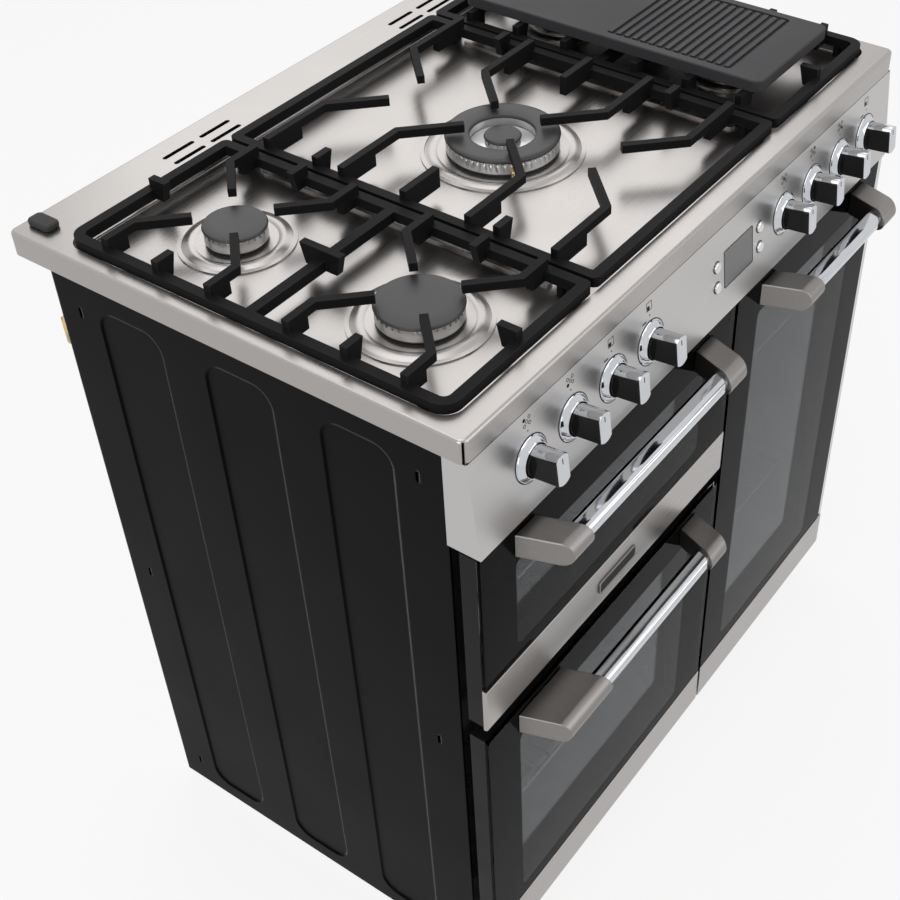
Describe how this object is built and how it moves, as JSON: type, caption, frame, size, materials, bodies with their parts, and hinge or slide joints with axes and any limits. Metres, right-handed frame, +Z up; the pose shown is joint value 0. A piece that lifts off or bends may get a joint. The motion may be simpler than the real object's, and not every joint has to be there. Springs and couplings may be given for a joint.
{
  "type": "range cooker",
  "caption": "Wide free-standing range cooker: steel gas hob with cast pan supports and griddle, tilted control fascia, two drop-down doors and a tall side-hung door with bar handles.",
  "frame": {"origin": "centre of the footprint of the whole cooker, on the floor", "axes": "+X to the right seen from the front, +Y to the back, +Z up; the doors and knobs face -Y"},
  "size_m": [0.9, 0.6675, 0.9583],
  "materials": {
    "brushed_stainless": "brushed",
    "fascia_steel": "satin",
    "black_panel": "satin",
    "zinc_steel": "satin",
    "cavity_enamel": "gloss",
    "door_frame_paint": "satin",
    "cast_iron": "matt",
    "griddle_iron": "matt",
    "cap_enamel": "matt",
    "burner_aluminium": "satin",
    "brass": "satin",
    "black_rubber": "matt",
    "black_glass": "gloss",
    "clear_glass": "gloss",
    "handle_steel": "brushed",
    "knob_black": "gloss",
    "chrome": "polished",
    "button_silver": "gloss",
    "clock_grey": "gloss",
    "inner_plastic": "matt",
    "motor_paint": "satin"
  },
  "bodies": {
    "cooker": {"side_panels": "black_panel", "rear_panel": "zinc_steel", "base_tray": "zinc_steel", "front_frame": "cavity_enamel", "feet": "black_rubber", "hob_top": "brushed_stainless", "hob_bumpers": "black_rubber", "fascia": "fascia_steel", "knob_bezels": "chrome", "clock_module": "clock_grey", "gas_pipework": "zinc_steel", "gas_taps": "burner_aluminium", "oven_switches": "inner_plastic", "gas_connector": "brass", "burner_cups": "cap_enamel", "burner_crowns": "burner_aluminium", "burner_caps": "cap_enamel", "spark_electrodes": "brass", "oven_liner_upper_left": "cavity_enamel", "oven_liner_lower_left": "cavity_enamel", "oven_liner_right": "cavity_enamel", "oven_seals": "black_rubber", "oven_racks": "chrome", "heating_elements": "zinc_steel", "fan_motor": "motor_paint", "fan_cover": "cavity_enamel", "terminal_box": "inner_plastic", "hinge_lugs": "zinc_steel"},
    "door_upper_left": {"door_upper_left_glass": "black_glass", "door_upper_left_strip": "brushed_stainless", "door_upper_left_frame": "door_frame_paint", "door_upper_left_inner_glass": "clear_glass", "door_upper_left_handle": "handle_steel"},
    "door_lower_left": {"door_lower_left_glass": "black_glass", "door_lower_left_strip": "brushed_stainless", "door_lower_left_frame": "door_frame_paint", "door_lower_left_inner_glass": "clear_glass", "door_lower_left_handle": "handle_steel"},
    "door_right": {"door_right_glass": "black_glass", "door_right_strip": "brushed_stainless", "door_right_frame": "door_frame_paint", "door_right_inner_glass": "clear_glass", "door_right_handle": "handle_steel"},
    "knob_1": {"knob_1": "knob_black"},
    "knob_2": {"knob_2": "knob_black"},
    "knob_3": {"knob_3": "knob_black"},
    "knob_4": {"knob_4": "knob_black"},
    "knob_5": {"knob_5": "knob_black"},
    "knob_6": {"knob_6": "knob_black"},
    "knob_7": {"knob_7": "knob_black"},
    "knob_8": {"knob_8": "knob_black"},
    "clock_button_1": {"clock_button_1": "button_silver"},
    "clock_button_2": {"clock_button_2": "button_silver"},
    "clock_button_3": {"clock_button_3": "button_silver"},
    "clock_button_4": {"clock_button_4": "button_silver"},
    "pan_support_left": {"pan_support_left": "cast_iron"},
    "pan_support_centre": {"pan_support_centre": "cast_iron"},
    "pan_support_right": {"pan_support_right": "cast_iron"},
    "griddle": {"griddle": "griddle_iron"},
    "convection_fan": {"convection_fan": "burner_aluminium"}
  },
  "joints": [
    {"name": "door_upper_left_hinge", "type": "hinge", "parent": "cooker", "child": "door_upper_left", "pos_m": [-0.1975, -0.25575, 0.52804], "axis": [1, 0, 0], "range_deg": [0, 90]},
    {"name": "door_lower_left_hinge", "type": "hinge", "parent": "cooker", "child": "door_lower_left", "pos_m": [-0.1975, -0.25575, 0.065], "axis": [1, 0, 0], "range_deg": [0, 90]},
    {"name": "door_right_hinge", "type": "hinge", "parent": "cooker", "child": "door_right", "pos_m": [0.433, -0.25575, 0.41232], "axis": [0, 0, 1], "range_deg": [0, 95]},
    {"name": "knob_1_turn", "type": "hinge", "parent": "cooker", "child": "knob_1", "pos_m": [-0.3555, -0.27221, 0.83731], "axis": [0, -0.9945, 0.1045], "range_deg": [0, 210]},
    {"name": "knob_2_turn", "type": "hinge", "parent": "cooker", "child": "knob_2", "pos_m": [-0.2825, -0.27221, 0.83731], "axis": [0, -0.9945, 0.1045], "range_deg": [0, 210]},
    {"name": "knob_3_turn", "type": "hinge", "parent": "cooker", "child": "knob_3", "pos_m": [-0.2095, -0.27221, 0.83731], "axis": [0, -0.9945, 0.1045], "range_deg": [-280, 0]},
    {"name": "knob_4_turn", "type": "hinge", "parent": "cooker", "child": "knob_4", "pos_m": [-0.1365, -0.27221, 0.83731], "axis": [0, -0.9945, 0.1045], "range_deg": [-280, 0]},
    {"name": "knob_5_turn", "type": "hinge", "parent": "cooker", "child": "knob_5", "pos_m": [0.1605, -0.27221, 0.83731], "axis": [0, -0.9945, 0.1045], "range_deg": [0, 210]},
    {"name": "knob_6_turn", "type": "hinge", "parent": "cooker", "child": "knob_6", "pos_m": [0.2335, -0.27221, 0.83731], "axis": [0, -0.9945, 0.1045], "range_deg": [0, 210]},
    {"name": "knob_7_turn", "type": "hinge", "parent": "cooker", "child": "knob_7", "pos_m": [0.3065, -0.27221, 0.83731], "axis": [0, -0.9945, 0.1045], "range_deg": [0, 210]},
    {"name": "knob_8_turn", "type": "hinge", "parent": "cooker", "child": "knob_8", "pos_m": [0.3795, -0.27221, 0.83731], "axis": [0, -0.9945, 0.1045], "range_deg": [-280, 0]},
    {"name": "clock_button_1_press", "type": "slide", "parent": "cooker", "child": "clock_button_1", "axis": [0, 0.9945, -0.1045], "range_m": [0, 0.0015], "stiffness_N_per_m": 400},
    {"name": "clock_button_2_press", "type": "slide", "parent": "cooker", "child": "clock_button_2", "axis": [0, 0.9945, -0.1045], "range_m": [0, 0.0015], "stiffness_N_per_m": 400},
    {"name": "clock_button_3_press", "type": "slide", "parent": "cooker", "child": "clock_button_3", "axis": [0, 0.9945, -0.1045], "range_m": [0, 0.0015], "stiffness_N_per_m": 400},
    {"name": "clock_button_4_press", "type": "slide", "parent": "cooker", "child": "clock_button_4", "axis": [0, 0.9945, -0.1045], "range_m": [0, 0.0015], "stiffness_N_per_m": 400},
    {"name": "pan_support_left_lift", "type": "slide", "parent": "cooker", "child": "pan_support_left", "axis": [0, 0, 1], "range_m": [0, 0.06]},
    {"name": "pan_support_centre_lift", "type": "slide", "parent": "cooker", "child": "pan_support_centre", "axis": [0, 0, 1], "range_m": [0, 0.06]},
    {"name": "pan_support_right_lift", "type": "slide", "parent": "cooker", "child": "pan_support_right", "axis": [0, 0, 1], "range_m": [0, 0.06]},
    {"name": "griddle_lift", "type": "slide", "parent": "pan_support_right", "child": "griddle", "axis": [0, 0, 1], "range_m": [0, 0.06]},
    {"name": "convection_fan_spin", "type": "hinge", "parent": "cooker", "child": "convection_fan", "pos_m": [0.2525, 0.17675, 0.42282], "axis": [0, 1, 0], "continuous": true}
  ]
}
